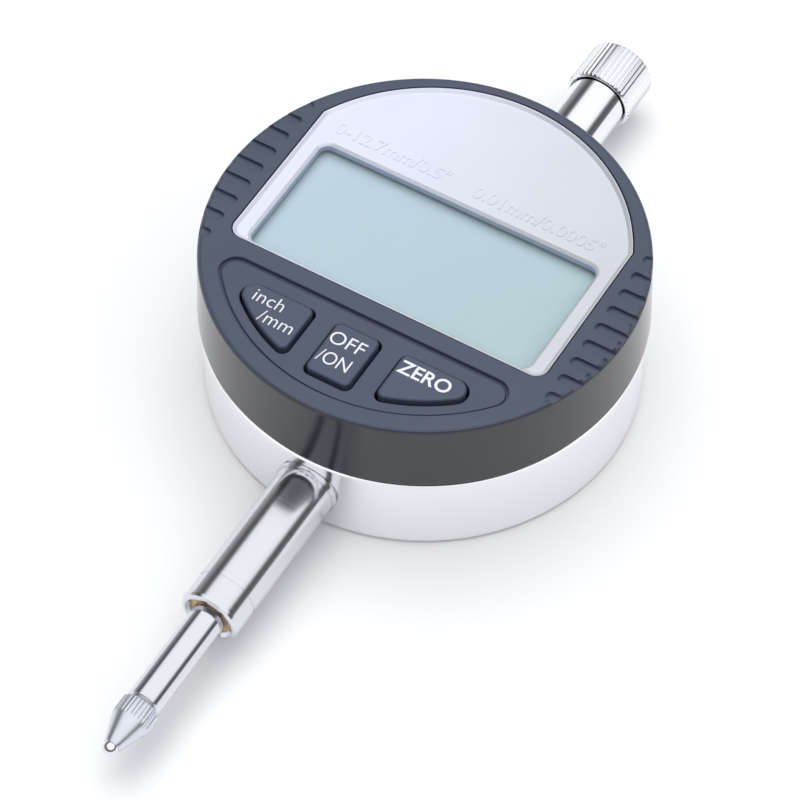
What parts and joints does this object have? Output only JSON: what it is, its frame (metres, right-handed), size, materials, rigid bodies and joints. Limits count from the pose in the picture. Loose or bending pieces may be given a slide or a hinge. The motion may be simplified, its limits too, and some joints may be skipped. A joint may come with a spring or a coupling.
{
  "type": "digital dial indicator",
  "caption": "Digital plunger indicator lying on its back: round metal case, swivelling display head with keys, clamping stem, sliding spindle with ball contact and a knurled dust cap.",
  "frame": {"origin": "centre of the round case, on the plane of its flat back", "axes": "+Z out of the display, the spindle along Y with its contact tip towards -Y and the dust cap towards +Y, +X to the right of the display"},
  "size_m": [0.0574, 0.1258, 0.0237],
  "materials": {
    "case_chrome": "bright chrome plate, softly rounded edges",
    "cover_steel": "satin plated back cover",
    "screw_steel": "dark zinc plated screws",
    "seal_rubber": "black nitrile rubber",
    "stem_steel": "ground and polished steel",
    "bronze": "sintered bronze bush",
    "rail_brass": "milled brass",
    "spring_steel": "bright spring wire",
    "board_green": "glass epoxy board with solder mask",
    "chip_black": "black moulding compound",
    "inner_plastic": "black moulded plastic",
    "battery_can": "nickel plated button cell",
    "contact_strip": "plated phosphor bronze",
    "spindle_steel": "hardened, ground and polished steel",
    "contact_steel": "satin steel with straight knurls",
    "ball_steel": "polished hardened ball",
    "carriage_alloy": "machined alloy block",
    "scale_copper": "etched copper pattern on glass epoxy",
    "head_plastic": "dark slate blue-grey plastic, satin top and glossier wall",
    "fascia_silver": "silver lacquered plastic plate",
    "clear_lens": "clear window",
    "lcd_glass": "pale blue-green liquid crystal panel, switched off",
    "frame_white": "white carrier frame",
    "zebra_rubber": "layered conductive rubber",
    "flex_film": "amber polyimide film",
    "key_plastic": "dark slate plastic key with white legend",
    "dome_rubber": "translucent grey silicone",
    "cap_chrome": "bright plated cap with straight knurls"
  },
  "bodies": {
    "case": {"rear_case": "case_chrome", "back_cover": "cover_steel", "back_cover_screws": "screw_steel", "case_gasket": "seal_rubber", "stem": "stem_steel", "stem_bush": "bronze", "top_barrel": "stem_steel", "barrel_bush": "bronze", "spindle_bumper": "seal_rubber", "guide_rail": "rail_brass", "guide_rail_screws": "screw_steel", "sensor_board": "board_green", "sensor_board_screws": "screw_steel", "sensor_chip": "chip_black", "battery_holder": "inner_plastic", "battery": "battery_can", "battery_contact_plus": "contact_strip", "battery_contact_minus": "contact_strip", "spring_post": "screw_steel", "swivel_ring": "spring_steel", "return_spring": "spring_steel", "ribbon_cable": "flex_film"},
    "spindle_group": {"spindle": "spindle_steel", "contact_point": "contact_steel", "contact_ball": "ball_steel", "spindle_carriage": "carriage_alloy", "carriage_set_screw": "screw_steel", "scale_strip": "scale_copper", "guide_pin": "spindle_steel"},
    "display_head": {"display_housing": "head_plastic", "fascia": "fascia_silver", "window_lens": "clear_lens", "lcd_panel": "lcd_glass", "lcd_frame": "frame_white", "zebra_strip": "zebra_rubber", "display_board": "board_green", "display_board_screws": "screw_steel", "display_chip": "chip_black", "dome_inch_mm": "dome_rubber", "dome_on_off": "dome_rubber", "dome_zero": "dome_rubber"},
    "key_inch_mm": {"key_inch_mm": "key_plastic"},
    "key_on_off": {"key_on_off": "key_plastic"},
    "key_zero": {"key_zero": "key_plastic"},
    "dust_cap": {"dust_cap": "cap_chrome"},
    "battery_cover": {"battery_cover": "cover_steel"}
  },
  "joints": [
    {"name": "spindle_slide", "type": "slide", "parent": "case", "child": "spindle_group", "axis": [0, 1, 0], "range_m": [0, 0.0127], "stiffness_N_per_m": 45, "springref_m": -0.018, "deforming": ["return_spring"]},
    {"name": "display_swivel", "type": "hinge", "parent": "case", "child": "display_head", "pos_m": [0, 0, 0.0139], "axis": [0, 0, 1], "range_deg": [-135, 135], "deforming": ["ribbon_cable"]},
    {"name": "key_inch_mm_press", "type": "slide", "parent": "display_head", "child": "key_inch_mm", "axis": [0, 0, -1], "range_m": [0, 0.0004], "stiffness_N_per_m": 800, "springref_m": -0.0006, "deforming": ["dome_inch_mm"]},
    {"name": "key_on_off_press", "type": "slide", "parent": "display_head", "child": "key_on_off", "axis": [0, 0, -1], "range_m": [0, 0.0004], "stiffness_N_per_m": 800, "springref_m": -0.0006, "deforming": ["dome_on_off"]},
    {"name": "key_zero_press", "type": "slide", "parent": "display_head", "child": "key_zero", "axis": [0, 0, -1], "range_m": [0, 0.0004], "stiffness_N_per_m": 800, "springref_m": -0.0006, "deforming": ["dome_zero"]},
    {"name": "dust_cap_pull", "type": "slide", "parent": "case", "child": "dust_cap", "axis": [0, 1, 0], "range_m": [0, 0.01]},
    {"name": "battery_cover_turn", "type": "hinge", "parent": "case", "child": "battery_cover", "pos_m": [0.016, 0.0055, 0], "axis": [0, 0, -1], "range_deg": [0, 60]}
  ]
}
